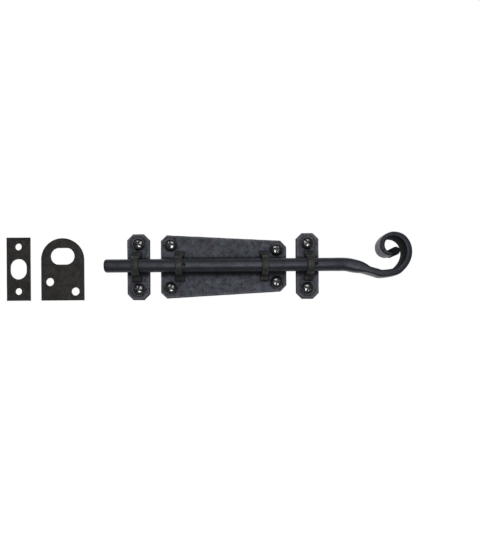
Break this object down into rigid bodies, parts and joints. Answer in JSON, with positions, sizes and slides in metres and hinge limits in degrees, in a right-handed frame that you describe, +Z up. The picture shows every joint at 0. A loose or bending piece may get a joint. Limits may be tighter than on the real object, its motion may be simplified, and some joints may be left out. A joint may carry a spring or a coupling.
{
  "type": "slide bolt latch",
  "caption": "Hand-forged black iron surface slide bolt with a curled tail, tapered backplate, strap guides, surface keeper and two loose strikes.",
  "frame": {"origin": "centre of the backplate's back face, on the door's surface", "axes": "+X along the bolt from its nose to its curl, +Z up the door, +Y into the door, so the front faces -Y"},
  "size_m": [0.3057, 0.0404, 0.0506],
  "materials": {
    "black_iron_plate": "matt black hammered plate with a bluish bloom",
    "black_iron_bar": "satin black forged bar",
    "burnished_rod": "satin black round bar, a little polished by use",
    "forged_curl": "satin black forging with soft hammer marks",
    "gloss_black_screw": "gloss black lacquer",
    "spring_steel": "oil-blacked spring steel",
    "black_iron_strike": "matt black plate with a brownish cast"
  },
  "bodies": {
    "mounting": {"backplate": "black_iron_plate", "backplate_strap_left": "black_iron_bar", "backplate_strap_right": "black_iron_bar", "keeper_plate": "black_iron_plate", "keeper_strap": "black_iron_bar", "guide_plate": "black_iron_plate", "guide_strap": "black_iron_bar", "friction_spring": "spring_steel", "spring_rivet": "black_iron_bar", "screw_keeper_top": "gloss_black_screw", "screw_keeper_bottom": "gloss_black_screw", "screw_backplate_left_top": "gloss_black_screw", "screw_backplate_left_bottom": "gloss_black_screw", "screw_backplate_right_top": "gloss_black_screw", "screw_backplate_right_bottom": "gloss_black_screw", "screw_guide_top": "gloss_black_screw", "screw_guide_bottom": "gloss_black_screw", "mortise_strike": "black_iron_strike", "half_round_strike": "black_iron_strike"},
    "bolt_shaft": {"bolt_rod": "burnished_rod", "stop_pin_middle": "burnished_rod", "stop_pin_curl_end": "burnished_rod"},
    "curl": {"curl_tail": "forged_curl"}
  },
  "joints": [
    {"name": "bolt_slide", "type": "slide", "parent": "mounting", "child": "bolt_shaft", "axis": [1, 0, 0], "range_m": [0, 0.0562]},
    {"name": "curl_turn", "type": "hinge", "parent": "bolt_shaft", "child": "curl", "pos_m": [0.086, -0.009, 0], "axis": [1, 0, 0], "range_deg": [0, 180]}
  ]
}
